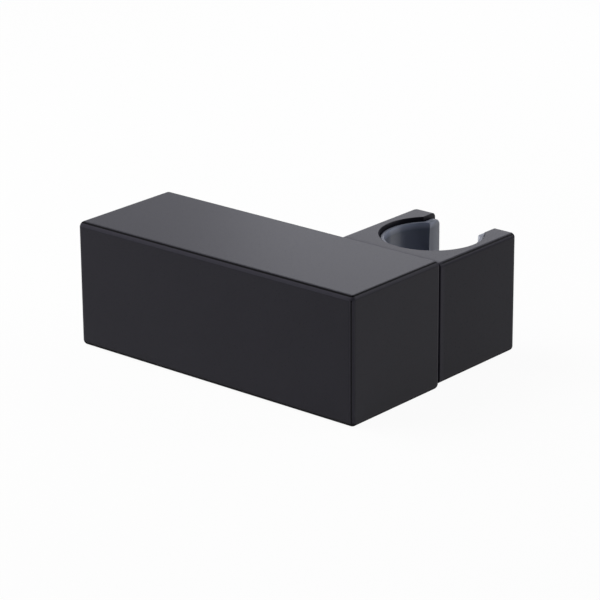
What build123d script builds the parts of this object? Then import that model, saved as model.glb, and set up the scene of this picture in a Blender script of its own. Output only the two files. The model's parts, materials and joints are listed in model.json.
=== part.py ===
from build123d import *

import os
from math import cos, radians, sqrt

# A hand shower holder for a wall. A square hollow arm stands out from the wall, and a square cradle
# turns on the arm's side. The cradle's liner takes the conical nut at the end of a shower hose, and
# the hose itself passes through the mouth. Sizes are in millimetres.
#
# Frame: the origin is the centre of the wall face, +X points out of the wall along the arm,
# +Y points from the arm to the cradle, and +Z is up.

# Arm: a moulded box, open at the wall
arm_length = 91.8
arm_width = 34.7
arm_height = 34.0
arm_wall = 2.6
arm_end_wall = 3.0
arm_edge_radius = 1.5
arm_end_radius = 1.2
core_draft = 0.3
core_corner_radius = 1.5

# Seat for the hose's conical nut, shaped by the liner
cone_radius = 12.2
cone_half_angle = 2.0
hose_gap = 15.6
liner_wall = 1.2
lip_wall = 1.95
lip_setback = 0.5
liner_fit = 0.1
liner_drop = 1.1
lip_corner_radius = 1.6
lip_edge_radius = 0.6
bead_radius = 0.6
bead_height = 0.4
bead_drop = 5.0

# Cradle: a block round the seat, flush with the arm's end and a little lower than the arm
cradle_side_wall = 3.0
cradle_setback = 0.2
cradle_drop = 0.95
cradle_corner_radius = 1.5
cradle_edge_radius = 1.2
joint_edge_radius = 0.2
mouth_length = 5.12
mouth_edge_radius = 0.8
rim_radius = 0.25
ledge_height = 1.6
ledge_width = 1.2

# Pivot: a shoulder screw through the cradle's hub into a threaded insert in the arm
running_gap = 0.15
hub_margin = 6.0
hub_fit = 0.1
hub_floor = 2.0
hub_recess = 2.2
hub_pad = 2.0
shoulder_radius = 3.0
shoulder_fit = 0.05
head_radius = 4.6
head_height = 1.8
head_edge_radius = 0.5
head_clearance = 0.4
pivot_socket_flats = 3.0
pivot_socket_depth = 1.5
pivot_thread_radius = 2.5
pivot_thread_length = 7.0
washer_radius = 5.2
washer_thickness = 0.6
washer_fit = 0.2
washer_clearance = 0.4
spring_height = 0.8
spring_thickness = 0.5
disc_thickness = 0.8
disc_fit = 0.2
insert_wall = 1.0
insert_length = 8.0
insert_groove_width = 1.4
insert_groove_depth = 0.4
insert_fit = 0.05
boss_wall = 2.0
boss_tip = 1.5

# Wall bracket: a plate with a skirt that the arm slides over
bracket_fit = 0.2
bracket_depth = 14.0
bracket_plate = 3.0
bracket_wall = 2.0
screw_spacing = 16.0
screw_hole_radius = 2.25
screw_pad_radius = 4.6
screw_pad_height = 1.5

# Lock: a set screw, turned down out of its nut in the bracket into the arm's underside
lock_from_wall = 8.0
lock_radius = 2.0
lock_length = 8.0
lock_recess = 0.5
lock_fit = 0.1
lock_socket_flats = 2.0
lock_socket_depth = 2.5
thread_fit = 0.05
thread_chamfer = 0.4
nut_width = 7.0
nut_height = 2.2
nut_chamfer = 0.4
nut_fit = 0.2
nut_block_wall = 2.0

# Arm's outside and its hollow
arm_side = arm_width / 2
arm_bottom = -arm_height / 2
core_width = arm_width - 2 * arm_wall
core_height = arm_height - 2 * arm_wall
core_length = arm_length - arm_end_wall

# Seat and liner, from the cone outwards
liner_radius = cone_radius + liner_wall
seat_radius = liner_radius + liner_fit
liner_mouth = hose_gap + 2 * lip_wall
seat_mouth = liner_mouth + 2 * liner_fit

# Pivot stack along +Y, from the bottom of the arm's recess to the top of the screw's head
pivot_x = arm_length - cradle_setback - cradle_side_wall - seat_radius
recess_floor = arm_side - hub_recess
hub_face = recess_floor + disc_thickness
counterbore_floor = hub_face + hub_floor
washer_face = counterbore_floor + spring_height
head_face = washer_face + washer_thickness
head_top = head_face + head_height
recess_radius = arm_height / 2 - hub_margin
hub_radius = recess_radius - hub_fit
washer_bore = shoulder_radius + washer_fit
insert_radius = pivot_thread_radius + thread_fit + insert_wall
insert_end = recess_floor - insert_length
pad_face = recess_floor - hub_pad
boss_radius = insert_radius + insert_fit + boss_wall
boss_end = insert_end - boss_tip

# Cradle's block: the seat's axis stands clear of the screw's head
cradle_back = arm_side + running_gap
seat_y = head_top + head_clearance + seat_radius
mouth_start = seat_y + sqrt(seat_radius**2 - (seat_mouth / 2) ** 2)
cradle_front = mouth_start + mouth_length
cradle_width = 2 * (seat_radius + cradle_side_wall)
cradle_depth = cradle_front - cradle_back
cradle_top = arm_height / 2 - cradle_drop
cradle_height = 2 * cradle_top
ledge_top = ledge_height - cradle_top
liner_top = cradle_top - liner_drop
liner_height = liner_top - ledge_top
bead_level = liner_top - bead_drop
mouth_reach = cradle_front - seat_y
lip_reach = mouth_reach - lip_setback

# Bracket and lock
skirt_width = core_width - 2 * bracket_fit
skirt_height = core_height - 2 * bracket_fit
skirt_corner_radius = core_corner_radius - bracket_fit
nut_floor = -skirt_height / 2 + bracket_wall
nut_slot = nut_width + 2 * nut_fit
nut_block_height = nut_height + nut_fit + nut_block_wall
lock_bottom = arm_bottom + lock_recess


def pivot_plane(y):
    """Plane across the pivot's axis, facing the cradle."""
    return Plane(origin=(pivot_x, y, 0), x_dir=(0, 0, 1), z_dir=(0, 1, 0))


def seat_plane(z):
    """Plane across the seat's axis, facing up, with its second axis towards the mouth."""
    return Plane(origin=(pivot_x, seat_y, z))


def lock_plane(z):
    """Plane across the lock screw's axis, facing up."""
    return Plane(origin=(lock_from_wall, 0, z))


def hexagon_radius(flats):
    """Corner radius of a hexagon, from its width across flats."""
    return flats / 2 / cos(radians(30))


pivot_axis = Axis((pivot_x, 0, 0), (0, 1, 0))
pivot_section = Plane(origin=(pivot_x, 0, 0), x_dir=(1, 0, 0), z_dir=(0, 0, 1))
bead_axis = Axis((pivot_x, seat_y, 0), (0, 0, -1))
seat_section = Plane(origin=(pivot_x, seat_y, 0), x_dir=(1, 0, 0), z_dir=(0, -1, 0))

# Arm shell: a box with a drafted core, and a boss for the pivot inside its cradle side
with BuildPart() as arm_shell:
    with BuildSketch(Plane.YZ):
        RectangleRounded(arm_width, arm_height, arm_edge_radius)
    extrude(amount=arm_length)
    fillet(arm_shell.faces().filter_by(Axis.X).edges(), arm_end_radius)
    with BuildSketch(Plane.YZ):
        RectangleRounded(core_width, core_height, core_corner_radius)
    extrude(amount=core_length, taper=core_draft, mode=Mode.SUBTRACT)
    # Thicker wall round the recess, reaching into the three walls beside it
    pad_back = pivot_x - recess_radius - arm_wall
    pad_front = arm_length - arm_end_wall / 2
    with BuildSketch(Plane.XY):
        with Locations(((pad_back + pad_front) / 2, (pad_face + arm_side - arm_wall / 2) / 2)):
            Rectangle(pad_front - pad_back, arm_side - arm_wall / 2 - pad_face)
    extrude(amount=core_height / 2 + arm_wall / 2, both=True)
    # Boss for the insert, which runs on to the end wall so that the core can be drawn out
    boss_run = pad_front - pivot_x
    with BuildSketch(pivot_plane(boss_end)):
        Circle(boss_radius)
        with Locations((0, boss_run / 2)):
            Rectangle(2 * boss_radius, boss_run)
    extrude(amount=recess_floor - boss_end)
    # Recess for the cradle's hub, and the insert's hole in its floor
    with BuildSketch(pivot_plane(recess_floor)):
        Circle(recess_radius)
    extrude(amount=hub_recess, mode=Mode.SUBTRACT)
    with BuildSketch(pivot_plane(insert_end)):
        Circle(insert_radius + insert_fit)
    extrude(amount=insert_length, mode=Mode.SUBTRACT)
    # Hole for the lock screw in the underside
    with BuildSketch(lock_plane(arm_bottom)):
        Circle(lock_radius + lock_fit)
    extrude(amount=2 * arm_wall, mode=Mode.SUBTRACT)

# Wall bracket: a cup that fills the arm's open end, with two screw holes and a block for the nut
with BuildPart() as wall_bracket:
    with BuildSketch(Plane.YZ):
        RectangleRounded(skirt_width, skirt_height, skirt_corner_radius)
    extrude(amount=bracket_depth, taper=core_draft)
    with BuildSketch(Plane.YZ.offset(bracket_plate)):
        Rectangle(skirt_width - 2 * bracket_wall, skirt_height - 2 * bracket_wall)
    extrude(amount=bracket_depth - bracket_plate, mode=Mode.SUBTRACT)
    with BuildSketch(Plane.YZ.offset(bracket_plate)):
        with GridLocations(screw_spacing, 0, 2, 1):
            Circle(screw_pad_radius)
    extrude(amount=screw_pad_height)
    with BuildSketch(Plane.YZ.offset(bracket_plate)):
        with Locations((0, nut_floor + nut_block_height / 2)):
            Rectangle(nut_slot + 2 * nut_block_wall, nut_block_height)
    extrude(amount=bracket_depth - bracket_plate)
    with BuildSketch(Plane.YZ):
        with GridLocations(screw_spacing, 0, 2, 1):
            Circle(screw_hole_radius)
    extrude(amount=bracket_plate + screw_pad_height, mode=Mode.SUBTRACT)
    # Slot for the nut, open at the skirt's end
    with BuildSketch(Plane.YZ.offset(lock_from_wall - nut_slot / 2)):
        with Locations((0, nut_floor + (nut_height + nut_fit) / 2)):
            Rectangle(nut_slot, nut_height + nut_fit)
    extrude(amount=bracket_depth - lock_from_wall + nut_slot / 2, mode=Mode.SUBTRACT)
    with BuildSketch(lock_plane(arm_bottom)):
        Circle(lock_radius + lock_fit)
    extrude(amount=nut_floor + nut_block_height - arm_bottom, mode=Mode.SUBTRACT)

# Lock nut: square, resting on the slot's floor
with BuildPart() as lock_nut:
    with BuildSketch(lock_plane(nut_floor)):
        Rectangle(nut_width, nut_width)
        Circle(lock_radius + thread_fit, mode=Mode.SUBTRACT)
    extrude(amount=nut_height)
    chamfer(lock_nut.edges().filter_by(Axis.Z), nut_chamfer)

# Lock screw: a set screw with its socket facing down
with BuildPart() as lock_screw:
    with BuildSketch(lock_plane(lock_bottom)):
        Circle(lock_radius)
    extrude(amount=lock_length)
    chamfer(lock_screw.edges().filter_by(GeomType.CIRCLE), thread_chamfer)
    with BuildSketch(lock_plane(lock_bottom)):
        RegularPolygon(hexagon_radius(lock_socket_flats), 6)
    extrude(amount=lock_socket_depth, mode=Mode.SUBTRACT)

# Threaded insert: a bush with a groove round its middle, pressed into the arm's boss
with BuildPart() as pivot_insert:
    with BuildSketch(pivot_plane(insert_end)):
        Circle(insert_radius)
        Circle(pivot_thread_radius + thread_fit, mode=Mode.SUBTRACT)
    extrude(amount=insert_length)
    with BuildSketch(pivot_plane(insert_end + (insert_length - insert_groove_width) / 2)):
        Circle(insert_radius)
        Circle(insert_radius - insert_groove_depth, mode=Mode.SUBTRACT)
    extrude(amount=insert_groove_width, mode=Mode.SUBTRACT)

# Friction disc: between the recess's floor and the cradle's hub
with BuildPart() as friction_disc:
    with BuildSketch(pivot_plane(recess_floor)):
        Circle(recess_radius - disc_fit)
        Circle(shoulder_radius + disc_fit, mode=Mode.SUBTRACT)
    extrude(amount=disc_thickness)

# Cradle: a rounded block with a hub on its back and a C-shaped seat cut down to a ledge
with BuildPart() as cradle:
    with BuildSketch(Plane.XZ.offset(-cradle_back)):
        with Locations((pivot_x, 0)):
            Rectangle(cradle_width, cradle_height)
    extrude(amount=-cradle_depth)
    fillet(cradle.edges().filter_by(Axis.Z).group_by(Axis.Y)[-1], cradle_corner_radius)
    level_edges = cradle.edges().group_by(Axis.Z)
    joint_edges = cradle.faces().sort_by(Axis.Y)[0].edges()
    fillet(level_edges[0] + level_edges[-1] - joint_edges, cradle_edge_radius)
    # Crisper round the face beside the arm
    fillet(cradle.faces().sort_by(Axis.Y)[0].edges(), joint_edge_radius)
    with BuildSketch(seat_plane(ledge_top)) as seat_outline:
        Circle(seat_radius)
        with Locations((0, mouth_reach / 2)):
            Rectangle(seat_mouth, mouth_reach)
        fillet(seat_outline.vertices().group_by(Axis.Y)[-2], mouth_edge_radius)
    extrude(amount=cradle_top - ledge_top, mode=Mode.SUBTRACT)
    seat_edges = cradle.edges(Select.LAST)
    seat_floor = seat_edges.group_by(Axis.Z)[0]
    fillet(seat_edges - seat_floor - seat_edges.filter_by(Axis.X), rim_radius)
    with BuildSketch(seat_plane(-cradle_top)):
        Circle(seat_radius - ledge_width)
        with Locations((0, mouth_reach / 2)):
            Rectangle(seat_mouth - 2 * ledge_width, mouth_reach)
    extrude(amount=ledge_height, mode=Mode.SUBTRACT)
    # Groove round the back of the seat, for the liner's bead
    with BuildSketch(seat_section):
        with Locations((liner_radius + bead_height - bead_radius, bead_level)):
            Circle(bead_radius + liner_fit)
    revolve(axis=bead_axis, revolution_arc=180, mode=Mode.SUBTRACT)
    # Hub with the shoulder's hole, and a counterbore for the washers and the head
    with BuildSketch(pivot_plane(hub_face)):
        Circle(hub_radius)
    extrude(amount=hub_floor)
    with BuildSketch(pivot_plane(hub_face)):
        Circle(shoulder_radius + shoulder_fit)
    extrude(amount=hub_floor, mode=Mode.SUBTRACT)
    with BuildSketch(pivot_plane(counterbore_floor)):
        Circle(washer_radius + washer_clearance)
    extrude(amount=seat_y - counterbore_floor, mode=Mode.SUBTRACT)

# Spring washer: a shallow cone between the counterbore's floor and the flat washer
with BuildPart() as spring_washer:
    with BuildSketch(pivot_section):
        with BuildLine():
            Polyline(
                (washer_bore, washer_face),
                (washer_bore, washer_face - spring_thickness),
                (washer_radius, counterbore_floor),
                (washer_radius, counterbore_floor + spring_thickness),
                close=True,
            )
        make_face()
    revolve(axis=pivot_axis)

# Flat washer: under the screw's head
with BuildPart() as flat_washer:
    with BuildSketch(pivot_plane(washer_face)):
        Circle(washer_radius)
        Circle(washer_bore, mode=Mode.SUBTRACT)
    extrude(amount=washer_thickness)

# Pivot screw: thread, shoulder and low head, with a hexagon socket
with BuildPart() as pivot_screw:
    with BuildSketch(pivot_plane(recess_floor - pivot_thread_length)):
        Circle(pivot_thread_radius)
    extrude(amount=pivot_thread_length)
    with BuildSketch(pivot_plane(recess_floor)):
        Circle(shoulder_radius)
    extrude(amount=head_face - recess_floor)
    with BuildSketch(pivot_plane(head_face)):
        Circle(head_radius)
    extrude(amount=head_height)
    fillet(pivot_screw.faces().sort_by(Axis.Y)[-1].edges(), head_edge_radius)
    chamfer(pivot_screw.faces().sort_by(Axis.Y)[0].edges(), thread_chamfer)
    with BuildSketch(pivot_plane(head_top - pivot_socket_depth)):
        RegularPolygon(hexagon_radius(pivot_socket_flats), 6)
    extrude(amount=pivot_socket_depth, mode=Mode.SUBTRACT)

# Cradle liner: a C-shaped sleeve on the ledge, with a tapered bore and a lip on each side of the mouth
with BuildPart() as cradle_liner:
    with BuildSketch(seat_plane(ledge_top)) as liner_outline:
        Circle(liner_radius)
        with Locations((0, lip_reach / 2)):
            Rectangle(liner_mouth, lip_reach)
        fillet(liner_outline.vertices().group_by(Axis.Y)[-2], mouth_edge_radius + liner_fit)
    extrude(amount=liner_height)
    with BuildSketch(seat_section):
        with Locations((liner_radius + bead_height - bead_radius, bead_level)):
            Circle(bead_radius)
    revolve(axis=bead_axis, revolution_arc=180)
    with BuildSketch(seat_plane(liner_top)):
        Circle(cone_radius)
    extrude(amount=-liner_height, taper=cone_half_angle, mode=Mode.SUBTRACT)
    with BuildSketch(seat_plane(ledge_top)):
        with Locations((0, (mouth_reach + seat_radius) / 2)):
            Rectangle(hose_gap, mouth_reach + seat_radius)
    extrude(amount=liner_height, mode=Mode.SUBTRACT)
    # Lips: round top corners and round front edges
    lip_tops = cradle_liner.edges().filter_by(Axis.X).group_by(Axis.Z)[-1].group_by(Axis.Y)[-1]
    fillet(lip_tops, lip_corner_radius)
    lip_fronts = cradle_liner.edges().filter_by(Axis.Z).group_by(Axis.Y)[-1]
    fillet(lip_fronts, lip_edge_radius)

pieces = {
    "arm_shell": arm_shell,
    "wall_bracket": wall_bracket,
    "lock_nut": lock_nut,
    "lock_screw": lock_screw,
    "pivot_insert": pivot_insert,
    "friction_disc": friction_disc,
    "cradle": cradle,
    "spring_washer": spring_washer,
    "flat_washer": flat_washer,
    "pivot_screw": pivot_screw,
    "cradle_liner": cradle_liner,
}

os.makedirs("parts", exist_ok=True)
for name, piece in pieces.items():
    piece.part.label = name
    export_step(piece.part, f"parts/{name}.step")
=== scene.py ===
"""Finishes, screw threads and studio for a hand shower holder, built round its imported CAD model."""

import json
from math import cos, pi, radians, sin

import bpy
from mathutils import Matrix, Vector


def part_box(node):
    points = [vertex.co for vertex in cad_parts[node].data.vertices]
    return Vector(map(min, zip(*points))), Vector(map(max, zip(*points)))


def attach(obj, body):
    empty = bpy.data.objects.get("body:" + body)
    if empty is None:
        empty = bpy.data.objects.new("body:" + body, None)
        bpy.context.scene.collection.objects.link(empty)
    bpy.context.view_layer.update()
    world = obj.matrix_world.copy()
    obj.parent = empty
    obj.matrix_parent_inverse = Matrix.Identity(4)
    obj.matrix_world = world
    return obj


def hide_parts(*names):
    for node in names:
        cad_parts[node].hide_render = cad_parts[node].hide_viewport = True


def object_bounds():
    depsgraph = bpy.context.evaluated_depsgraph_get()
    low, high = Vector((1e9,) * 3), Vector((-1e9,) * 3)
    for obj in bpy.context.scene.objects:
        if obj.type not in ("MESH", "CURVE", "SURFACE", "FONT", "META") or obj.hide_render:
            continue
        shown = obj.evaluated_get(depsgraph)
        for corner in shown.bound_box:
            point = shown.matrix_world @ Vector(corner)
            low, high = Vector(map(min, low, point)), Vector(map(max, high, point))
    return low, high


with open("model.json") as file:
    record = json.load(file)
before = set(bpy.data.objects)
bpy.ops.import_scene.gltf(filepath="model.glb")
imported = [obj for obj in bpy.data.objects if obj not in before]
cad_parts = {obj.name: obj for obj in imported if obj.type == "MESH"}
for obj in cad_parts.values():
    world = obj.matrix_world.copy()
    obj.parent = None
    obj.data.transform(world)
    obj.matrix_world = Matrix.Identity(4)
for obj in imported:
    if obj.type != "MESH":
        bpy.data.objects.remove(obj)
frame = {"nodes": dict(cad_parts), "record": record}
cad_low, cad_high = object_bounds()

bl_info = {
    "name": "Hand Shower Holder",
    "version": (1, 0, 0),
    "blender": (4, 5, 0),
    "location": "3D View > Sidebar > Holder",
    "description": "Finishes, screw threads and studio for a square wall holder of a hand shower",
    "category": "Object",
}


class HolderFinishes(bpy.types.PropertyGroup):
    """Colours and textures of the holder's surfaces."""

    paint_colour: bpy.props.FloatVectorProperty(
        name="Paint Colour",
        description="Matte black paint on the arm",
        subtype="COLOR",
        min=0.0,
        max=1.0,
        default=(0.026, 0.025, 0.0322),
    )
    # Painted shade: the cradle takes a darker copy of the arm's paint
    cradle_shaded_paint_colour: bpy.props.FloatVectorProperty(
        name="Cradle Paint Colour",
        description="Matte black paint on the cradle, which is a little deeper",
        subtype="COLOR",
        min=0.0,
        max=1.0,
        default=(0.016, 0.015, 0.0215),
    )
    # Painted shade: the paint is darkened in thin lines on the rounded edges
    paint_edge_shade_colour: bpy.props.FloatVectorProperty(
        name="Paint Edge Colour",
        description="The same paint on the rounded edges, where it gathers and looks deeper",
        subtype="COLOR",
        min=0.0,
        max=1.0,
        default=(0.001, 0.001, 0.0012),
    )
    # Painted light in the cradle's seat: its walls are a little lighter than the cradle's paint
    seat_painted_light_colour: bpy.props.FloatVectorProperty(
        name="Seat Colour",
        description="The paint on the walls of the cradle's seat, which little light reaches",
        subtype="COLOR",
        min=0.0,
        max=1.0,
        default=(0.02, 0.02, 0.027),
    )
    paint_roughness: bpy.props.FloatProperty(
        name="Paint Roughness",
        description="Mean roughness of the matte paint",
        subtype="FACTOR",
        min=0.0,
        max=1.0,
        default=0.32,
    )
    paint_grain: bpy.props.FloatProperty(
        name="Paint Grain",
        description="Size of the paint's fine grain",
        unit="LENGTH",
        min=0.00005,
        default=0.00025,
    )
    # Painted shade on the arm and painted highlight on the cradle, beside the gap between them
    joint_band: bpy.props.FloatProperty(
        name="Joint Band",
        description="Reach of the shaded paint on each side of the gap between the arm and the cradle",
        unit="LENGTH",
        min=0.0001,
        default=0.002,
    )
    seat_radius: bpy.props.FloatProperty(
        name="Seat Radius",
        description="Distance from the seat's axis within which the cradle takes the seat's colour",
        unit="LENGTH",
        min=0.001,
        default=0.0136,
    )
    mouth_width: bpy.props.FloatProperty(
        name="Mouth Width",
        description="Width of the seat's mouth between the cradle's tips",
        unit="LENGTH",
        min=0.001,
        default=0.0199,
    )
    liner_colour: bpy.props.FloatVectorProperty(
        name="Liner Colour",
        description="Grey plastic of the cradle's liner",
        subtype="COLOR",
        min=0.0,
        max=1.0,
        default=(0.155, 0.172, 0.222),
    )
    # Painted highlight: the lips' ends are paler, where their rounded edges catch the light
    lip_end_highlight_colour: bpy.props.FloatVectorProperty(
        name="Lip End Colour",
        description="The same plastic where the lips end, thin enough to let light through",
        subtype="COLOR",
        min=0.0,
        max=1.0,
        default=(0.3, 0.32, 0.36),
    )
    lip_end_length: bpy.props.FloatProperty(
        name="Lip End Length",
        description="Length over which the lips grow paler towards their ends",
        unit="LENGTH",
        min=0.0001,
        default=0.0035,
    )
    # Painted light: a paler band at the top of the liner's inside
    liner_rim_height: bpy.props.FloatProperty(
        name="Liner Rim Height",
        description="Height over which the liner's inside grows paler towards its top",
        unit="LENGTH",
        min=0.0001,
        default=0.0018,
    )
    liner_roughness: bpy.props.FloatProperty(
        name="Liner Roughness",
        description="Mean roughness of the liner's smooth plastic",
        subtype="FACTOR",
        min=0.0,
        max=1.0,
        default=0.22,
    )
    bracket_colour: bpy.props.FloatVectorProperty(
        name="Bracket Colour",
        description="Bare black plastic of the wall bracket",
        subtype="COLOR",
        min=0.0,
        max=1.0,
        default=(0.03, 0.03, 0.032),
    )
    steel_colour: bpy.props.FloatVectorProperty(
        name="Steel Colour",
        description="Stainless steel of the screws, the nut and the washers",
        subtype="COLOR",
        min=0.0,
        max=1.0,
        default=(0.58, 0.58, 0.57),
    )
    brass_colour: bpy.props.FloatVectorProperty(
        name="Brass Colour",
        description="Turned brass of the threaded insert",
        subtype="COLOR",
        min=0.0,
        max=1.0,
        default=(0.72, 0.5, 0.2),
    )
    rubber_colour: bpy.props.FloatVectorProperty(
        name="Rubber Colour",
        description="Moulded rubber of the friction disc",
        subtype="COLOR",
        min=0.0,
        max=1.0,
        default=(0.03, 0.03, 0.03),
    )


class HolderScrews(bpy.types.PropertyGroup):
    """Threads, sockets and knurls of the small metal parts."""

    thread_chamfer: bpy.props.FloatProperty(
        name="Thread Chamfer",
        description="Chamfer on both ends of a screw",
        unit="LENGTH",
        min=0.0,
        default=0.0004,
    )
    lock_pitch: bpy.props.FloatProperty(
        name="Lock Pitch",
        description="Pitch of the lock screw's thread",
        unit="LENGTH",
        min=0.0,
        default=0.0007,
    )
    lock_socket_flats: bpy.props.FloatProperty(
        name="Lock Socket Flats",
        description="Width across the flats of the lock screw's socket",
        unit="LENGTH",
        min=0.0,
        default=0.002,
    )
    lock_socket_depth: bpy.props.FloatProperty(
        name="Lock Socket Depth",
        description="Depth of the lock screw's socket",
        unit="LENGTH",
        min=0.0,
        default=0.0025,
    )
    pivot_pitch: bpy.props.FloatProperty(
        name="Pivot Pitch",
        description="Pitch of the pivot screw's thread",
        unit="LENGTH",
        min=0.0,
        default=0.0008,
    )
    pivot_thread_radius: bpy.props.FloatProperty(
        name="Pivot Thread Radius",
        description="Outer radius of the pivot screw's thread",
        unit="LENGTH",
        min=0.0,
        default=0.0025,
    )
    pivot_thread_length: bpy.props.FloatProperty(
        name="Pivot Thread Length",
        description="Threaded part of the pivot screw",
        unit="LENGTH",
        min=0.0,
        default=0.007,
    )
    pivot_shoulder_radius: bpy.props.FloatProperty(
        name="Pivot Shoulder Radius",
        description="Plain part that the cradle turns on",
        unit="LENGTH",
        min=0.0,
        default=0.003,
    )
    pivot_head_height: bpy.props.FloatProperty(
        name="Pivot Head Height",
        description="Height of the pivot screw's head",
        unit="LENGTH",
        min=0.0,
        default=0.0018,
    )
    pivot_socket_flats: bpy.props.FloatProperty(
        name="Pivot Socket Flats",
        description="Width across the flats of the pivot screw's socket",
        unit="LENGTH",
        min=0.0,
        default=0.003,
    )
    pivot_socket_depth: bpy.props.FloatProperty(
        name="Pivot Socket Depth",
        description="Depth of the pivot screw's socket",
        unit="LENGTH",
        min=0.0,
        default=0.0015,
    )
    insert_bore_radius: bpy.props.FloatProperty(
        name="Insert Bore Radius",
        description="Radius of the insert's hole, drawn plain",
        unit="LENGTH",
        min=0.0,
        default=0.00255,
    )
    insert_groove_width: bpy.props.FloatProperty(
        name="Insert Groove Width",
        description="Width of the groove round the insert",
        unit="LENGTH",
        min=0.0,
        default=0.0014,
    )
    insert_groove_depth: bpy.props.FloatProperty(
        name="Insert Groove Depth",
        description="Depth of the groove round the insert",
        unit="LENGTH",
        min=0.0,
        default=0.0004,
    )
    insert_knurl_depth: bpy.props.FloatProperty(
        name="Insert Knurl Depth",
        description="Depth of the insert's knurls",
        unit="LENGTH",
        min=0.0,
        default=0.00025,
    )
    insert_knurls: bpy.props.IntProperty(
        name="Insert Knurls",
        description="Number of knurls round the insert",
        min=3,
        default=28,
    )


class HolderStage(bpy.types.PropertyGroup):
    """Camera, lamps, backdrop and floor."""

    azimuth: bpy.props.FloatProperty(
        name="Azimuth",
        description="Direction of the camera round the holder, from straight in front of the arm's side",
        subtype="ANGLE",
        default=radians(40.448),
    )
    elevation: bpy.props.FloatProperty(
        name="Elevation",
        description="Height of the camera above the horizon",
        subtype="ANGLE",
        default=radians(19.83),
    )
    roll: bpy.props.FloatProperty(
        name="Roll",
        description="Tilt of the camera about its own line of sight",
        subtype="ANGLE",
        default=radians(-0.42),
    )
    distance: bpy.props.FloatProperty(
        name="Distance",
        description="From the camera to the point that it looks at",
        unit="LENGTH",
        default=0.742,
    )
    look_at: bpy.props.FloatVectorProperty(
        name="Look At",
        description="Point in the middle of the picture",
        subtype="TRANSLATION",
        unit="LENGTH",
        default=(0.04725, 0.01562, -0.00302),
    )
    focal_length: bpy.props.FloatProperty(
        name="Focal Length",
        description="Lens of the camera, in millimetres",
        default=171.8,
    )
    floor_colour: bpy.props.FloatVectorProperty(
        name="Floor Colour",
        description="Pale floor under the holder",
        subtype="COLOR",
        min=0.0,
        max=1.0,
        default=(0.97, 0.97, 0.965),
    )
    floor_glow: bpy.props.FloatProperty(
        name="Floor Glow",
        description="Share of the floor that shows as plain white, which thins the shadow",
        subtype="FACTOR",
        min=0.0,
        max=1.0,
        default=0.95,
    )
    fill_strength: bpy.props.FloatProperty(
        name="Fill Strength",
        description="Soft light from all round",
        min=0.0,
        default=0.45,
    )
    backdrop_top: bpy.props.FloatProperty(
        name="Backdrop Top",
        description="Height above the horizon at which the white backdrop ends in reflections",
        subtype="ANGLE",
        default=radians(30.0),
    )
    backdrop_tint: bpy.props.FloatVectorProperty(
        name="Backdrop Tint",
        description="Colour of the white backdrop in reflections, a little bluish",
        subtype="COLOR",
        min=0.0,
        default=(0.98, 0.985, 1.07),
    )
    softbox_power: bpy.props.FloatProperty(
        name="Softbox Power",
        description="Large lamp over the holder",
        unit="POWER",
        min=0.0,
        default=4.5,
    )
    softbox_size: bpy.props.FloatVectorProperty(
        name="Softbox Size",
        description="Width and height of the lamp over the holder",
        unit="LENGTH",
        size=2,
        min=0.01,
        default=(0.6, 0.6),
    )
    softbox_place: bpy.props.FloatVectorProperty(
        name="Softbox Place",
        description="Lamp's middle from the holder's: to the right of the picture, away, and up",
        unit="LENGTH",
        subtype="TRANSLATION",
        default=(-0.45, 0.1, 0.5),
    )
    side_light_power: bpy.props.FloatProperty(
        name="Side Light Power",
        description="Lamp on the right, which shines into the cradle's seat",
        unit="POWER",
        min=0.0,
        default=0.7,
    )
    side_light_size: bpy.props.FloatVectorProperty(
        name="Side Light Size",
        description="Width and height of the lamp on the right",
        unit="LENGTH",
        size=2,
        min=0.01,
        default=(0.3, 0.3),
    )
    side_light_place: bpy.props.FloatVectorProperty(
        name="Side Light Place",
        description="Lamp's middle from the holder's: to the right of the picture, away, and up",
        unit="LENGTH",
        subtype="TRANSLATION",
        default=(0.5, 0.05, 0.35),
    )
    back_light_power: bpy.props.FloatProperty(
        name="Back Light Power",
        description="Lamp behind the holder, which the arm's top reflects",
        unit="POWER",
        min=0.0,
        default=0.295,
    )
    back_light_colour: bpy.props.FloatVectorProperty(
        name="Back Light Colour",
        description="Colour of the lamp behind the holder, a little bluish",
        subtype="COLOR",
        min=0.0,
        max=1.0,
        default=(0.93, 0.935, 1.0),
    )
    back_light_size: bpy.props.FloatVectorProperty(
        name="Back Light Size",
        description="Width and height of the lamp behind the holder",
        unit="LENGTH",
        size=2,
        min=0.01,
        default=(0.42, 0.26),
    )
    back_light_place: bpy.props.FloatVectorProperty(
        name="Back Light Place",
        description="Lamp's middle from the holder's: to the right of the picture, away, and up",
        unit="LENGTH",
        subtype="TRANSLATION",
        default=(0.16, 0.32, 0.15),
    )


def add_node(tree, kind, values=None, **settings):
    """A new node with its settings, and the values of its inputs by name."""
    node = tree.nodes.new(kind)
    for name, setting in settings.items():
        setattr(node, name, setting)
    for name, value in (values or {}).items():
        node.inputs[name].default_value = value
    return node


def feed(tree, value, socket):
    """Links an output to an input, or sets the input to a plain value."""
    if isinstance(value, bpy.types.NodeSocket):
        tree.links.new(value, socket)
    else:
        socket.default_value = value


def add_math(tree, operation, first, second=None):
    """A Math node between two sockets or numbers. Gives its output."""
    node = add_node(tree, "ShaderNodeMath", operation=operation)
    feed(tree, first, node.inputs[0])
    if second is not None:
        feed(tree, second, node.inputs[1])
    return node.outputs[0]


def add_inverse(tree, share):
    """1 less a share."""
    return add_math(tree, "SUBTRACT", 1.0, share)


def add_largest(tree, first, *others):
    """The largest of several sockets or numbers."""
    for other in others:
        first = add_math(tree, "MAXIMUM", first, other)
    return first


def add_choice(tree, number, limit, first, second):
    """The first value where a number is under a limit, otherwise the second."""
    less = add_math(tree, "LESS_THAN", number, limit)
    kept = add_math(tree, "MULTIPLY", less, first)
    other = add_math(tree, "MULTIPLY", add_inverse(tree, less), second)
    return add_math(tree, "ADD", kept, other)


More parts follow.
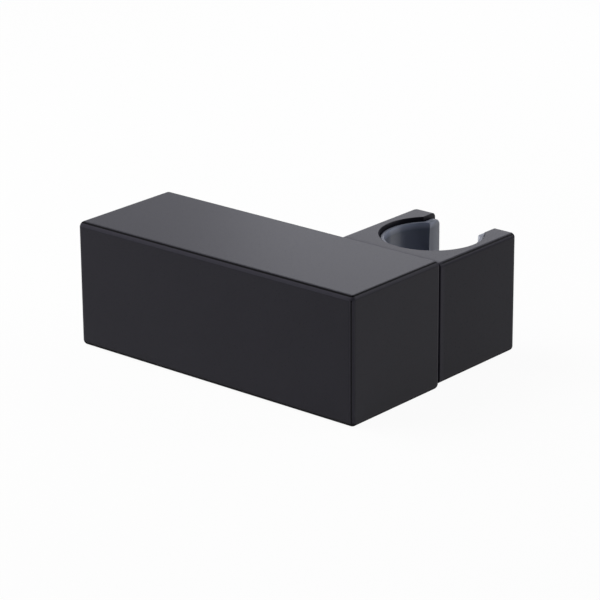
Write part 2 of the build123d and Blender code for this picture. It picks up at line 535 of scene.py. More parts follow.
def add_range(tree, value, low, high, to_low, to_high, smooth=False):
    """A Map Range node. Gives its output."""
    node = add_node(
        tree,
        "ShaderNodeMapRange",
        {"From Min": low, "From Max": high, "To Min": to_low, "To Max": to_high},
        interpolation_type="SMOOTHSTEP" if smooth else "LINEAR",
    )
    tree.links.new(value, node.inputs["Value"])
    return node.outputs["Result"]


def add_window(tree, value, bounds):
    """1 between the two middle bounds, falling to 0 at the outer ones."""
    return add_math(
        tree,
        "MULTIPLY",
        add_range(tree, value, bounds[0], bounds[1], 0.0, 1.0),
        add_range(tree, value, bounds[2], bounds[3], 1.0, 0.0),
    )


def add_axes(tree, vector):
    """The X, Y and Z parts of a vector."""
    node = tree.nodes.new("ShaderNodeSeparateXYZ")
    tree.links.new(vector, node.inputs[0])
    return node.outputs


def add_mix(tree, share, first, second):
    """A colour mix of two colours or sockets. Gives its output."""
    node = add_node(tree, "ShaderNodeMix", data_type="RGBA")
    tree.links.new(share, node.inputs["Factor"])
    for name, colour in (("A", first), ("B", second)):
        is_socket = isinstance(colour, bpy.types.NodeSocket)
        feed(tree, colour if is_socket else (*colour, 1.0), node.inputs[name])
    return node.outputs["Result"]


def scaled(colour, factor):
    """The colour, lighter or darker."""
    return tuple(channel * factor for channel in colour)


def add_noise(tree, coordinates, feature, detail=2.0):
    """Noise whose features are about the given size. Gives its value."""
    node = add_node(tree, "ShaderNodeTexNoise", {"Scale": 1.0 / feature, "Detail": detail})
    tree.links.new(coordinates, node.inputs["Vector"])
    return node.outputs[0]


def add_mottle(tree, noise, colour, darkest, lightest):
    """The colour times a factor that follows a noise. Gives the output."""
    return add_mix(tree, noise, scaled(colour, darkest), scaled(colour, lightest))


def add_spread(tree, noise, low, high):
    """Spreads the usual values of a noise over a range. Gives the output."""
    usual_low, usual_high = 0.3, 0.7
    return add_range(tree, noise, usual_low, usual_high, low, high)


def add_bump(tree, height, distance, strength, shader):
    """A Bump node on the shader's normal."""
    node = add_node(tree, "ShaderNodeBump", {"Strength": strength, "Distance": distance})
    tree.links.new(height, node.inputs["Height"])
    tree.links.new(node.outputs["Normal"], shader.inputs["Normal"])


def new_finish(name):
    """A material with one Principled shader. Gives also its tree, its shader and its coordinates."""
    material = bpy.data.materials.new(name)
    material.use_nodes = True
    tree = material.node_tree
    shader = tree.nodes["Principled BSDF"]
    coordinates = tree.nodes.new("ShaderNodeTexCoord")
    return material, tree, shader, coordinates


def outside_seat(tree, place, finishes):
    """0 within the cradle's seat and its mouth, 1 elsewhere."""
    seat = next(mount for mount in frame["record"]["mounts"] if mount["name"] == "hose_nut_seat")
    away = add_node(tree, "ShaderNodeVectorMath", operation="SUBTRACT")
    tree.links.new(place, away.inputs[0])
    away.inputs[1].default_value = seat["pos_m"]
    axes = add_axes(tree, away.outputs[0])
    across, forward = axes["X"], axes["Y"]
    squares = [add_math(tree, "MULTIPLY", axis, axis) for axis in (across, forward)]
    radius = add_math(tree, "SQRT", add_math(tree, "ADD", *squares))
    out_of_round = add_math(tree, "GREATER_THAN", radius, finishes.seat_radius)
    from_middle = add_math(tree, "ABSOLUTE", across)
    beside_mouth = add_math(tree, "GREATER_THAN", from_middle, finishes.mouth_width / 2)
    behind = add_math(tree, "LESS_THAN", forward, 0.0)
    return add_math(tree, "MULTIPLY", out_of_round, add_largest(tree, beside_mouth, behind))


def near_joint(tree, place, finishes):
    """1 at the gap between the arm and the cradle, falling to 0 at the end of the joint's band."""
    gap = frame["record"]["behaviour"]["joints"][0]["pos_m"][1]
    across = add_axes(tree, place)["Y"]
    away = add_math(tree, "ABSOLUTE", add_math(tree, "SUBTRACT", across, gap))
    return add_range(tree, away, 0.0, finishes.joint_band, 1.0, 0.0)


def edge_shares(tree, normal, joint, upper_shade_line, upright_shade_line):
    """Shares of the edges' painted dark lines of shade, of all rounded edges, and of what is dull.

    A line of painted shade is a window of the normal's upward part at upper and lower edges, and of its
    part along the arm at upright ones. Flat faces lie along the axes and have no share, except that the
    level top is a little dull beside the joint.
    """
    rounded_limit, flat_limit = 0.96, 0.99
    lower_shade_line = (-0.98, -0.93, -0.4, -0.05)
    upright_limit = 0.3
    averted_limit = 0.1
    lengthwise_limit = 0.2
    level_limit = 0.9
    joint_dulling = 0.4
    along, across, up = add_axes(tree, normal)
    sizes = [add_math(tree, "ABSOLUTE", part) for part in (along, across, up)]
    rounded = add_range(tree, add_largest(tree, *sizes), rounded_limit, flat_limit, 1.0, 0.0)
    upper = add_window(tree, up, upper_shade_line)
    # A soft painted shade on the edges, darker towards the underside
    lower = add_window(tree, up, lower_shade_line)
    upright = add_choice(tree, sizes[2], upright_limit, add_window(tree, sizes[0], upright_shade_line), 0.0)
    shade_lines = add_largest(tree, upper, lower, upright)
    # Dull along the arm, low down, and where an edge faces the wall or the cradle's mouth
    to_wall = add_math(tree, "LESS_THAN", along, -averted_limit)
    to_mouth = add_math(tree, "GREATER_THAN", across, averted_limit)
    lengthwise = add_math(tree, "LESS_THAN", sizes[0], lengthwise_limit)
    dull = add_math(tree, "MULTIPLY", rounded, add_largest(tree, to_wall, to_mouth, lengthwise))
    level = add_math(tree, "GREATER_THAN", up, level_limit)
    level_joint = add_math(tree, "MULTIPLY", joint, level)
    joint_dull = add_math(tree, "MULTIPLY", level_joint, joint_dulling)
    return shade_lines, rounded, add_largest(tree, dull, lower, joint_dull)


def matte_paint(name, colour, joint_shade_and_highlight_factor, upper_shade_line, upright_shade_line, finishes):
    """Matte black paint: a fine grain, faint clouds, and rounded edges with paler flanks as a painted
    highlight and a thin line of painted shade.
    """
    grains_per_cloud = 60
    edge_highlight_factor = 1.8
    roughness_spread = 0.05
    dulling = 0.45
    material, tree, shader, coordinates = new_finish(name)
    place = coordinates.outputs["Object"]
    grain = add_noise(tree, place, finishes.paint_grain)
    clouds = add_noise(tree, place, grains_per_cloud * finishes.paint_grain, detail=3.0)
    clouded = add_mottle(tree, clouds, colour, darkest=0.92, lightest=1.08)
    joint = near_joint(tree, place, finishes)
    normal = coordinates.outputs["Normal"]
    shade_lines, rounded, dull = edge_shares(tree, normal, joint, upper_shade_line, upright_shade_line)
    # Painted shade or highlight beside the joint
    joint_shaded_and_highlighted = add_mix(tree, joint, clouded, scaled(colour, joint_shade_and_highlight_factor))
    # Painted highlight: the rounded edges' flanks are paler than the faces
    edge_highlighted = add_mix(tree, rounded, joint_shaded_and_highlighted, scaled(colour, edge_highlight_factor))
    # The painted lines of shade fade out at the joint
    shade_line_share = add_math(tree, "MULTIPLY", shade_lines, add_inverse(tree, joint))
    # Painted shade: thin dark lines along the rounded edges
    painted = add_mix(tree, shade_line_share, edge_highlighted, finishes.paint_edge_shade_colour)
    # Painted light on the walls of the cradle's seat
    seated = add_mix(tree, outside_seat(tree, place, finishes), finishes.seat_painted_light_colour, painted)
    tree.links.new(seated, shader.inputs["Base Color"])
    mean = finishes.paint_roughness
    roughness = add_spread(tree, grain, mean - roughness_spread, mean + roughness_spread)
    dulled = add_math(tree, "ADD", roughness, add_math(tree, "MULTIPLY", dull, dulling))
    tree.links.new(dulled, shader.inputs["Roughness"])
    shader.inputs["IOR"].default_value = 1.2
    shader.inputs["Specular Tint"].default_value = (0.93, 0.91, 1.0, 1.0)
    add_bump(tree, grain, distance=0.00001, strength=0.25, shader=shader)
    return material


def smooth_grey_plastic(finishes):
    """The liner's plastic: grey, smooth and a little uneven, with painted light: paler at the top and a
    painted highlight at the lips' ends.
    """
    upright_limit, level_limit = 0.3, 0.8
    rim_highlight_factor = 3.0
    roughness_spread = 0.04
    top_dulling = 0.2
    material, tree, shader, coordinates = new_finish("liner_grey_plastic")
    place = coordinates.outputs["Object"]
    colour = finishes.liner_colour
    flow = add_noise(tree, place, feature=0.004, detail=3.0)
    sink = add_noise(tree, place, feature=0.0012)
    mottled = add_mottle(tree, flow, colour, darkest=0.93, lightest=1.07)
    far_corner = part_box("cradle_liner")[1]
    axes = add_axes(tree, place)
    # Painted highlight towards the lips' ends
    lip_end_start = far_corner.y - finishes.lip_end_length
    lip_highlight_share = add_range(tree, axes["Y"], lip_end_start, far_corner.y, 0.0, 1.0)
    # Painted light near the top of the liner's inside
    rim_start = far_corner.z - finishes.liner_rim_height
    near_top = add_range(tree, axes["Z"], rim_start, far_corner.z, 0.0, 1.0)
    up = add_axes(tree, coordinates.outputs["Normal"])["Z"]
    level = add_range(tree, up, upright_limit, level_limit, 0.0, 1.0)
    rim_highlight_share = add_math(tree, "MULTIPLY", near_top, add_inverse(tree, level))
    rim_highlighted = add_mix(tree, rim_highlight_share, mottled, scaled(colour, rim_highlight_factor))
    lip_highlighted = add_mix(tree, lip_highlight_share, rim_highlighted, finishes.lip_end_highlight_colour)
    tree.links.new(lip_highlighted, shader.inputs["Base Color"])
    mean = finishes.liner_roughness
    roughness = add_spread(tree, sink, mean - roughness_spread, mean + roughness_spread)
    dulled = add_math(tree, "ADD", roughness, add_math(tree, "MULTIPLY", level, top_dulling))
    tree.links.new(dulled, shader.inputs["Roughness"])
    shader.inputs["IOR"].default_value = 1.46
    add_bump(tree, sink, distance=0.00001, strength=0.08, shader=shader)
    return material


def bare_black_plastic(finishes):
    """The bracket's plastic: black, with a spark-eroded grain."""
    material, tree, shader, coordinates = new_finish("bracket_black_plastic")
    place = coordinates.outputs["Object"]
    erosion = add_noise(tree, place, feature=0.00035, detail=4.0)
    flow = add_noise(tree, place, feature=0.006)
    mottled = add_mottle(tree, flow, finishes.bracket_colour, darkest=0.85, lightest=1.15)
    tree.links.new(mottled, shader.inputs["Base Color"])
    tree.links.new(add_spread(tree, erosion, low=0.5, high=0.66), shader.inputs["Roughness"])
    add_bump(tree, erosion, distance=0.00004, strength=0.5, shader=shader)
    return material


def turned_metal(name, colour, roughness):
    """Bright metal with fine tool marks and faint stains."""
    brightest, dullest = roughness - 0.06, roughness + 0.08
    material, tree, shader, coordinates = new_finish(name)
    place = coordinates.outputs["Object"]
    stains = add_noise(tree, place, feature=0.003, detail=3.0)
    marks = add_noise(tree, place, feature=0.00012)
    stained = add_mottle(tree, stains, colour, darkest=0.88, lightest=1.06)
    tree.links.new(stained, shader.inputs["Base Color"])
    shader.inputs["Metallic"].default_value = 1.0
    tree.links.new(add_spread(tree, stains, brightest, dullest), shader.inputs["Roughness"])
    add_bump(tree, marks, distance=0.000006, strength=0.3, shader=shader)
    return material


def stainless_steel(finishes):
    """The one steel that the screws, the nut and the washers share."""
    name = "stainless_steel"
    return bpy.data.materials.get(name) or turned_metal(name, finishes.steel_colour, roughness=0.32)


def moulded_rubber(finishes):
    """The friction disc's rubber: dull, with a powdery bloom."""
    material, tree, shader, coordinates = new_finish("friction_rubber")
    place = coordinates.outputs["Object"]
    bloom = add_noise(tree, place, feature=0.002, detail=4.0)
    pores = add_noise(tree, place, feature=0.0002)
    bloomed = add_mottle(tree, bloom, finishes.rubber_colour, darkest=0.8, lightest=1.4)
    tree.links.new(bloomed, shader.inputs["Base Color"])
    tree.links.new(add_spread(tree, bloom, low=0.7, high=0.85), shader.inputs["Roughness"])
    add_bump(tree, pores, distance=0.00003, strength=0.5, shader=shader)
    return material


ROUND_SIDES = 48


def new_geometry(name, inputs):
    """A Geometry Nodes tree. Gives the tree and the sockets of its named inputs."""
    tree = bpy.data.node_groups.new(name, "GeometryNodeTree")
    for label, kind in inputs.items():
        tree.interface.new_socket(label, in_out="INPUT", socket_type=f"NodeSocket{kind}")
    tree.interface.new_socket("Geometry", in_out="OUTPUT", socket_type="NodeSocketGeometry")
    return tree, tree.nodes.new("NodeGroupInput").outputs


def add_grooves(tree, turns):
    """1 at each whole turn, falling to 0 half way between."""
    phase = add_math(tree, "FRACT", turns)
    doubled = add_math(tree, "MULTIPLY", phase, 2.0)
    return add_math(tree, "ABSOLUTE", add_math(tree, "SUBTRACT", doubled, 1.0))


def add_turned_bar(tree, length, radius_at, vertices, rows):
    """A closed bar along +Z from the origin.

    radius_at gives its radius from the height and from the turn about the axis, 0 to 1.
    """
    bar = add_node(tree, "GeometryNodeMeshCylinder", {"Radius": 1.0})
    feed(tree, vertices, bar.inputs["Vertices"])
    feed(tree, rows, bar.inputs["Side Segments"])
    tree.links.new(length, bar.inputs["Depth"])
    x, y, z = add_axes(tree, tree.nodes.new("GeometryNodeInputPosition").outputs[0])
    height = add_math(tree, "ADD", z, add_math(tree, "MULTIPLY", length, 0.5))
    angle = add_math(tree, "ARCTAN2", y, x)
    turn = add_math(tree, "FRACT", add_math(tree, "DIVIDE", angle, 2 * pi))
    radius = radius_at(height, turn)
    parts = (add_math(tree, "MULTIPLY", x, radius), add_math(tree, "MULTIPLY", y, radius), height)
    moved = tree.nodes.new("ShaderNodeCombineXYZ")
    for part, socket in zip(parts, moved.inputs):
        tree.links.new(part, socket)
    shape = tree.nodes.new("GeometryNodeSetPosition")
    tree.links.new(bar.outputs["Mesh"], shape.inputs["Geometry"])
    tree.links.new(moved.outputs[0], shape.inputs["Position"])
    return shape.outputs[0]


def add_cut(tree, shape, vertices, radius, depth, middle):
    """Takes an upright prism out of a shape. Gives what is left."""
    prism = add_node(tree, "GeometryNodeMeshCylinder", {"Vertices": vertices})
    tree.links.new(radius, prism.inputs["Radius"])
    tree.links.new(depth, prism.inputs["Depth"])
    lift = tree.nodes.new("ShaderNodeCombineXYZ")
    tree.links.new(middle, lift.inputs["Z"])
    lifted = tree.nodes.new("GeometryNodeTransform")
    tree.links.new(prism.outputs["Mesh"], lifted.inputs["Geometry"])
    tree.links.new(lift.outputs[0], lifted.inputs["Translation"])
    cut = add_node(tree, "GeometryNodeMeshBoolean", operation="DIFFERENCE")
    tree.links.new(shape, cut.inputs["Mesh 1"])
    tree.links.new(lifted.outputs[0], cut.inputs["Mesh 2"])
    return cut.outputs["Mesh"]


def finish_geometry(tree, shape, material):
    """Ends the tree with Realize Instances and Set Material."""
    real = tree.nodes.new("GeometryNodeRealizeInstances")
    dressed = tree.nodes.new("GeometryNodeSetMaterial")
    tree.links.new(shape, real.inputs[0])
    tree.links.new(real.outputs[0], dressed.inputs["Geometry"])
    tree.links.new(material, dressed.inputs["Material"])
    tree.links.new(dressed.outputs[0], tree.nodes.new("NodeGroupOutput").inputs[0])


def screw_tree():
    """A screw from its point up: thread, shoulder and head, with a hexagon socket in the top."""
    sizes = (
        "Length",
        "Thread Length",
        "Thread Radius",
        "Thread Pitch",
        "Shoulder Radius",
        "Head Height",
        "Head Radius",
        "Chamfer",
        "Socket Flats",
        "Socket Depth",
    )
    tree, given = new_geometry("screw", {**dict.fromkeys(sizes, "Float"), "Material": "Material"})
    length, pitch = given["Length"], given["Thread Pitch"]
    thread_depth_per_pitch = 0.61
    rows_per_pitch = 8
    socket_sides = 6

    def radius_at(height, turn):
        turns = add_math(tree, "DIVIDE", height, pitch)
        groove = add_grooves(tree, add_math(tree, "SUBTRACT", turns, turn))
        depth = add_math(tree, "MULTIPLY", pitch, thread_depth_per_pitch)
        lost = add_math(tree, "MULTIPLY", groove, depth)
        thread = add_math(tree, "SUBTRACT", given["Thread Radius"], lost)
        head_face = add_math(tree, "SUBTRACT", length, given["Head Height"])
        above = add_choice(tree, height, head_face, given["Shoulder Radius"], given["Head Radius"])
        plain = add_choice(tree, height, given["Thread Length"], given["Thread Radius"], above)
        shaped = add_choice(tree, height, given["Thread Length"], thread, above)
        to_end = add_math(tree, "MINIMUM", height, add_math(tree, "SUBTRACT", length, height))
        bevel = add_largest(tree, add_math(tree, "SUBTRACT", given["Chamfer"], to_end), 0.0)
        return add_math(tree, "MINIMUM", shaped, add_math(tree, "SUBTRACT", plain, bevel))

    rows = add_math(tree, "MULTIPLY", add_math(tree, "DIVIDE", length, pitch), rows_per_pitch)
    blank = add_turned_bar(tree, length, radius_at, ROUND_SIDES, rows)
    corner = add_math(tree, "DIVIDE", given["Socket Flats"], 2 * cos(pi / socket_sides))
    # The prism stands out of the top by the socket's depth
    depth = add_math(tree, "MULTIPLY", given["Socket Depth"], 2.0)
    shape = add_cut(tree, blank, socket_sides, corner, depth, length)
    finish_geometry(tree, shape, given["Material"])
    return tree


def insert_tree():
    """A bush with straight knurls, a groove round its middle and a plain hole."""
    sizes = ("Length", "Radius", "Bore Radius", "Groove Width", "Groove Depth", "Knurl Depth")
    tree, given = new_geometry(
        "knurled_insert", {**dict.fromkeys(sizes, "Float"), "Knurls": "Int", "Material": "Material"}
    )
    length, radius = given["Length"], given["Radius"]
    middle = add_math(tree, "MULTIPLY", length, 0.5)
    vertices_per_knurl = 4
    rows = 40

    def radius_at(height, turn):
        valley = add_grooves(tree, add_math(tree, "MULTIPLY", turn, given["Knurls"]))
        lost = add_math(tree, "MULTIPLY", valley, given["Knurl Depth"])
        knurled = add_math(tree, "SUBTRACT", radius, lost)
        from_middle = add_math(tree, "ABSOLUTE", add_math(tree, "SUBTRACT", height, middle))
        grooved = add_math(tree, "SUBTRACT", radius, given["Groove Depth"])
        half_groove = add_math(tree, "MULTIPLY", given["Groove Width"], 0.5)
        return add_choice(tree, from_middle, half_groove, grooved, knurled)

    vertices = add_math(tree, "MULTIPLY", given["Knurls"], vertices_per_knurl)
    blank = add_turned_bar(tree, length, radius_at, vertices, rows)
    # The prism stands out at both ends
    bore_depth = add_math(tree, "MULTIPLY", length, 2.0)
    shape = add_cut(tree, blank, ROUND_SIDES, given["Bore Radius"], bore_depth, middle)
    finish_geometry(tree, shape, given["Material"])
    return tree


def grow(name, tree, values, place):
    """Runs a tree with its named values, and gives the piece as a plain mesh, put in its place."""
    smooth_limit = radians(25.0)
    seed = bpy.data.objects.new(name + "_seed", bpy.data.meshes.new(name + "_seed"))
    bpy.context.scene.collection.objects.link(seed)
    modifier = seed.modifiers.new(name, "NODES")
    modifier.node_group = tree
    for item in tree.interface.items_tree:
        if item.in_out == "INPUT":
            modifier[item.identifier] = values[item.name]
    mesh = bpy.data.meshes.new_from_object(seed.evaluated_get(bpy.context.evaluated_depsgraph_get()))
    bpy.data.objects.remove(seed)
    if not mesh.polygons:
        raise RuntimeError(f"The tree of {name} gave no faces")
    mesh.name = name
    mesh.transform(place)
    mesh.shade_smooth()
    mesh.set_sharp_from_angle(angle=smooth_limit)
    piece = bpy.data.objects.new(name, mesh)
    bpy.context.scene.collection.objects.link(piece)
    return piece


def stand_for(piece, node):
    """The piece takes the place of one of the arm's CAD nodes."""
    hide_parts(node)
    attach(piece, "arm")


def dress(material, *nodes):
    """Puts one material on CAD nodes."""
    for name in nodes:
        mesh = frame["nodes"][name].data
        mesh.materials.clear()
        mesh.materials.append(material)


class HOLDER_OT_paint_arm_and_cradle(bpy.types.Operator):
    """Paint the arm and the cradle matte black"""

    bl_idname = "holder.paint_arm_and_cradle"
    bl_label = "Paint Arm and Cradle"

    def execute(self, context):
        finishes = context.scene.holder_finishes
        arm_paint = matte_paint(
            "arm_paint",
            finishes.paint_colour,
            # Painted shade on the arm beside the joint
            joint_shade_and_highlight_factor=0.8,
            upper_shade_line=(0.74, 0.8, 0.93, 0.965),
            upright_shade_line=(0.4, 0.47, 0.62, 0.69),
            finishes=finishes,
        )
        cradle_paint = matte_paint(
            "cradle_paint",
            finishes.cradle_shaded_paint_colour,
            # Painted highlight on the cradle beside the joint
            joint_shade_and_highlight_factor=2.0,
            upper_shade_line=(0.62, 0.7, 0.86, 0.91),
            upright_shade_line=(0.15, 0.3, 0.93, 0.985),
            finishes=finishes,
        )
        dress(arm_paint, "arm_shell")
        dress(cradle_paint, "cradle")
        return {"FINISHED"}


class HOLDER_OT_finish_liner(bpy.types.Operator):
    """Give the cradle's liner its smooth grey plastic"""

    bl_idname = "holder.finish_liner"
    bl_label = "Finish Liner"

    def execute(self, context):
        dress(smooth_grey_plastic(context.scene.holder_finishes), "cradle_liner")
        return {"FINISHED"}


class HOLDER_OT_finish_wall_bracket(bpy.types.Operator):
    """Give the wall bracket its bare black plastic"""

    bl_idname = "holder.finish_wall_bracket"
    bl_label = "Finish Wall Bracket"

    def execute(self, context):
        dress(bare_black_plastic(context.scene.holder_finishes), "wall_bracket")
        return {"FINISHED"}


class HOLDER_OT_finish_pivot_parts(bpy.types.Operator):
    """Give the nut, the washers and the friction disc their metal and rubber"""

    bl_idname = "holder.finish_pivot_parts"
    bl_label = "Finish Pivot Parts"

    def execute(self, context):
        finishes = context.scene.holder_finishes
        dress(stainless_steel(finishes), "lock_nut", "flat_washer", "spring_washer")
        dress(moulded_rubber(finishes), "friction_disc")
        return {"FINISHED"}


class HOLDER_OT_thread_screws(bpy.types.Operator):
    """Make the lock screw and the pivot screw, with their threads and sockets"""

    bl_idname = "holder.thread_screws"
    bl_label = "Thread Screws"

    def execute(self, context):
        screws = context.scene.holder_screws
        steel = stainless_steel(context.scene.holder_finishes)
        tree = screw_tree()
        shared = {"Chamfer": screws.thread_chamfer, "Material": steel}
        # The lock screw's socket faces down
        low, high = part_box("lock_screw")
        middle = (low + high) / 2
        lock_radius = (high.x - low.x) / 2
        lock_values = {
            "Length": high.z - low.z,
            "Thread Length": high.z - low.z,
            "Thread Radius": lock_radius,
            "Thread Pitch": screws.lock_pitch,
            "Shoulder Radius": lock_radius,
            "Head Height": 0.0,
            "Head Radius": lock_radius,
            "Socket Flats": screws.lock_socket_flats,
            "Socket Depth": screws.lock_socket_depth,
        }
        place = Matrix.Translation((middle.x, middle.y, high.z)) @ Matrix.Rotation(pi, 4, "X")
        lock_screw = grow("threaded_lock_screw", tree, {**lock_values, **shared}, place)
        stand_for(lock_screw, "lock_screw")
        # The pivot screw's head faces the cradle
        low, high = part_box("pivot_screw")
        middle = (low + high) / 2
        pivot_values = {
            "Length": high.y - low.y,
            "Thread Length": screws.pivot_thread_length,
            "Thread Radius": screws.pivot_thread_radius,
            "Thread Pitch": screws.pivot_pitch,
            "Shoulder Radius": screws.pivot_shoulder_radius,
            "Head Height": screws.pivot_head_height,
            "Head Radius": (high.x - low.x) / 2,
            "Socket Flats": screws.pivot_socket_flats,
            "Socket Depth": screws.pivot_socket_depth,
        }
        place = Matrix.Translation((middle.x, low.y, middle.z)) @ Matrix.Rotation(-pi / 2, 4, "X")
        pivot_screw = grow("threaded_pivot_screw", tree, {**pivot_values, **shared}, place)
        stand_for(pivot_screw, "pivot_screw")
        return {"FINISHED"}


class HOLDER_OT_knurl_insert(bpy.types.Operator):
    """Make the knurled brass insert in the arm's boss"""

    bl_idname = "holder.knurl_insert"
    bl_label = "Knurl Insert"

    def execute(self, context):
        screws = context.scene.holder_screws
        brass_colour = context.scene.holder_finishes.brass_colour
        low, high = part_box("pivot_insert")
        middle = (low + high) / 2
        values = {
            "Length": high.y - low.y,
            "Radius": (high.x - low.x) / 2,
            "Bore Radius": screws.insert_bore_radius,
            "Groove Width": screws.insert_groove_width,
            "Groove Depth": screws.insert_groove_depth,
            "Knurl Depth": screws.insert_knurl_depth,
            "Knurls": screws.insert_knurls,
            "Material": turned_metal("turned_brass", brass_colour, roughness=0.28),
        }
        place = Matrix.Translation((middle.x, low.y, middle.z)) @ Matrix.Rotation(-pi / 2, 4, "X")
        stand_for(grow("knurled_insert", insert_tree(), values, place), "pivot_insert")
        return {"FINISHED"}


def seen_rays(tree):
    """1 for the rays of the picture and of what it shows by reflection or through glass, 0 for light."""
    path = tree.nodes.new("ShaderNodeLightPath").outputs
    return add_largest(tree, path["Is Camera Ray"], path["Is Glossy Ray"], path["Is Transmission Ray"])


def make_floor(stage):
    """A wide pale floor just under the holder, which keeps a thin shadow."""
    reach = 4.0
    gap = 0.0001
    level = cad_low.z - gap
    mesh = bpy.data.meshes.new("floor")
    sides = ((-reach, -reach), (reach, -reach), (reach, reach), (-reach, reach))
    mesh.from_pydata([(x, y, level) for x, y in sides], [], [(0, 1, 2, 3)])
    floor = bpy.data.objects.new("floor", mesh)
    bpy.context.scene.collection.objects.link(floor)
    material, tree, shader, _ = new_finish("pale_floor")
    shader.inputs["Base Color"].default_value = (*stage.floor_colour, 1.0)
    shader.inputs["Roughness"].default_value = 0.9
    shader.inputs["Specular IOR Level"].default_value = 0.0
    white = add_node(tree, "ShaderNodeEmission", {"Color": (1.0, 1.0, 1.0, 1.0), "Strength": 1.0})
    mix = tree.nodes.new("ShaderNodeMixShader")
    tree.links.new(add_math(tree, "MULTIPLY", seen_rays(tree), stage.floor_glow), mix.inputs[0])
    tree.links.new(shader.outputs[0], mix.inputs[1])
    tree.links.new(white.outputs[0], mix.inputs[2])
    tree.links.new(mix.outputs[0], tree.nodes["Material Output"].inputs["Surface"])
    mesh.materials.append(material)


def make_world(stage):
    """Even fill light. The picture shows it as white, and reflections as a pale backdrop in a dim room."""
    soft_edge = radians(8.0)
    side_start, side_end = -0.6, -0.1
    room_strength = 0.05
    white = (1.0, 1.0, 1.0)
    world = bpy.data.worlds.new("studio")
    bpy.context.scene.world = world
    world.use_nodes = True
    tree = world.node_tree
    fill = tree.nodes["Background"]
    fill.inputs["Strength"].default_value = stage.fill_strength
    backdrop = tree.nodes.new("ShaderNodeBackground")
    path = tree.nodes.new("ShaderNodeLightPath").outputs
    direction = tree.nodes.new("ShaderNodeTexCoord").outputs["Generated"]
    below_top = add_range(
        tree,
        add_axes(tree, direction)["Z"],
        sin(stage.backdrop_top - soft_edge),
        sin(stage.backdrop_top + soft_edge),
        1.0,
        0.0,
        smooth=True,
    )
    ahead = add_node(tree, "ShaderNodeVectorMath", operation="DOT_PRODUCT")
    tree.links.new(direction, ahead.inputs[0])
    ahead.inputs[1].default_value = (-sin(stage.azimuth), cos(stage.azimuth), 0.0)
    behind_holder = add_range(tree, ahead.outputs["Value"], side_start, side_end, 0.0, 1.0, smooth=True)
    screen = add_math(tree, "MULTIPLY", below_top, behind_holder)
    reflected = add_largest(tree, screen, room_strength)
    straight = add_largest(tree, path["Is Camera Ray"], path["Is Transmission Ray"])
    tree.links.new(add_largest(tree, straight, reflected), backdrop.inputs["Strength"])
    tree.links.new(add_mix(tree, straight, stage.backdrop_tint, white), backdrop.inputs["Color"])
    mix = tree.nodes.new("ShaderNodeMixShader")
    tree.links.new(seen_rays(tree), mix.inputs[0])
    tree.links.new(fill.outputs[0], mix.inputs[1])
    tree.links.new(backdrop.outputs[0], mix.inputs[2])
    tree.links.new(mix.outputs[0], tree.nodes["World Output"].inputs["Surface"])


def make_lamp(name, power, size, place, stage, colour=(1.0, 1.0, 1.0)):
    """A soft rectangular lamp aimed at the holder. Its place is in the picture's directions."""
    lamp = bpy.data.lights.new(name, "AREA")
    lamp.shape = "RECTANGLE"
    lamp.size, lamp.size_y = size
    lamp.energy = power
    lamp.color = colour
    placed = bpy.data.objects.new(name, lamp)
    offset = Matrix.Rotation(stage.azimuth, 3, "Z") @ Vector(place)
    turn = offset.to_track_quat("Z", "Y").to_matrix().to_4x4()
    placed.matrix_world = Matrix.Translation((cad_low + cad_high) / 2 + offset) @ turn
    placed.visible_camera = False
    bpy.context.scene.collection.objects.link(placed)


def make_camera(stage):
    """A long lens, at the viewing angle of the picture."""
    lens = bpy.data.cameras.new("camera")
    lens.lens = stage.focal_length
    lens.sensor_width = 36.0
    lens.clip_start = 0.01
    camera = bpy.data.objects.new("camera", lens)
    back = Vector(
        (
            sin(stage.azimuth) * cos(stage.elevation),
            -cos(stage.azimuth) * cos(stage.elevation),
            sin(stage.elevation),
        )
    )
    turn = back.to_track_quat("Z", "Y").to_matrix().to_4x4() @ Matrix.Rotation(stage.roll, 4, "Z")
    camera.matrix_world = Matrix.Translation(Vector(stage.look_at) + back * stage.distance) @ turn
    bpy.context.scene.collection.objects.link(camera)
    bpy.context.scene.camera = camera


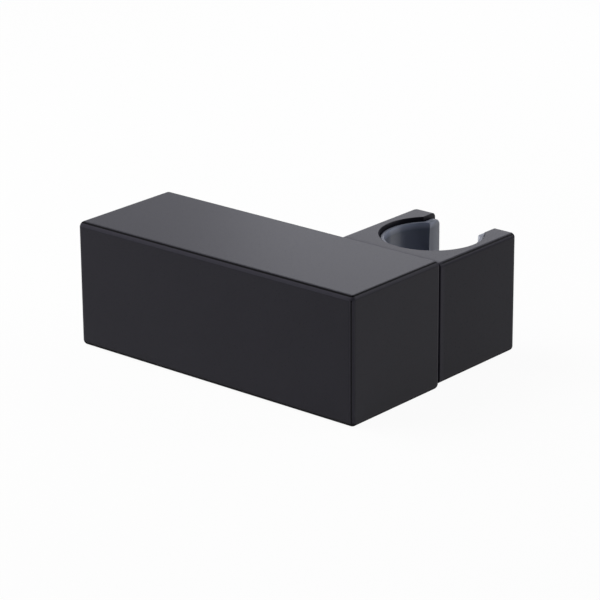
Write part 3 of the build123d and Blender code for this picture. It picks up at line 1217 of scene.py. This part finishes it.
class HOLDER_OT_set_stage(bpy.types.Operator):
    """Set up the floor, the soft light and the camera"""

    bl_idname = "holder.set_stage"
    bl_label = "Set Stage"

    def execute(self, context):
        stage = context.scene.holder_stage
        make_floor(stage)
        make_world(stage)
        make_lamp("softbox", stage.softbox_power, stage.softbox_size, stage.softbox_place, stage)
        make_lamp(
            "side_light",
            stage.side_light_power,
            stage.side_light_size,
            stage.side_light_place,
            stage,
        )
        make_lamp(
            "back_light",
            stage.back_light_power,
            stage.back_light_size,
            stage.back_light_place,
            stage,
            stage.back_light_colour,
        )
        make_camera(stage)
        context.scene.view_settings.view_transform = "Standard"
        return {"FINISHED"}


class HOLDER_PT_panel(bpy.types.Panel):
    """Steps and settings of the hand shower holder"""

    bl_idname = "HOLDER_PT_panel"
    bl_label = "Hand Shower Holder"
    bl_space_type = "VIEW_3D"
    bl_region_type = "UI"
    bl_category = "Holder"

    def draw(self, context):
        for operator in operators:
            self.layout.operator(operator.bl_idname)
        for scene_property in property_groups:
            group = getattr(context.scene, scene_property)
            box = self.layout.box()
            for name in group.__annotations__:
                box.prop(group, name)


property_groups = {
    "holder_finishes": HolderFinishes,
    "holder_screws": HolderScrews,
    "holder_stage": HolderStage,
}
operators = (
    HOLDER_OT_paint_arm_and_cradle,
    HOLDER_OT_finish_liner,
    HOLDER_OT_finish_wall_bracket,
    HOLDER_OT_finish_pivot_parts,
    HOLDER_OT_thread_screws,
    HOLDER_OT_knurl_insert,
    HOLDER_OT_set_stage,
)


def register():
    for name, group in property_groups.items():
        bpy.utils.register_class(group)
        setattr(bpy.types.Scene, name, bpy.props.PointerProperty(type=group))
    for operator in operators:
        bpy.utils.register_class(operator)
    bpy.utils.register_class(HOLDER_PT_panel)


def unregister():
    bpy.utils.unregister_class(HOLDER_PT_panel)
    for operator in reversed(operators):
        bpy.utils.unregister_class(operator)
    for name, group in reversed(property_groups.items()):
        delattr(bpy.types.Scene, name)
        bpy.utils.unregister_class(group)


def main():
    register()
    bpy.ops.holder.paint_arm_and_cradle()
    bpy.ops.holder.finish_liner()
    bpy.ops.holder.finish_wall_bracket()
    bpy.ops.holder.finish_pivot_parts()
    bpy.ops.holder.thread_screws()
    bpy.ops.holder.knurl_insert()
    bpy.ops.holder.set_stage()


if __name__ == "__main__":
    main()
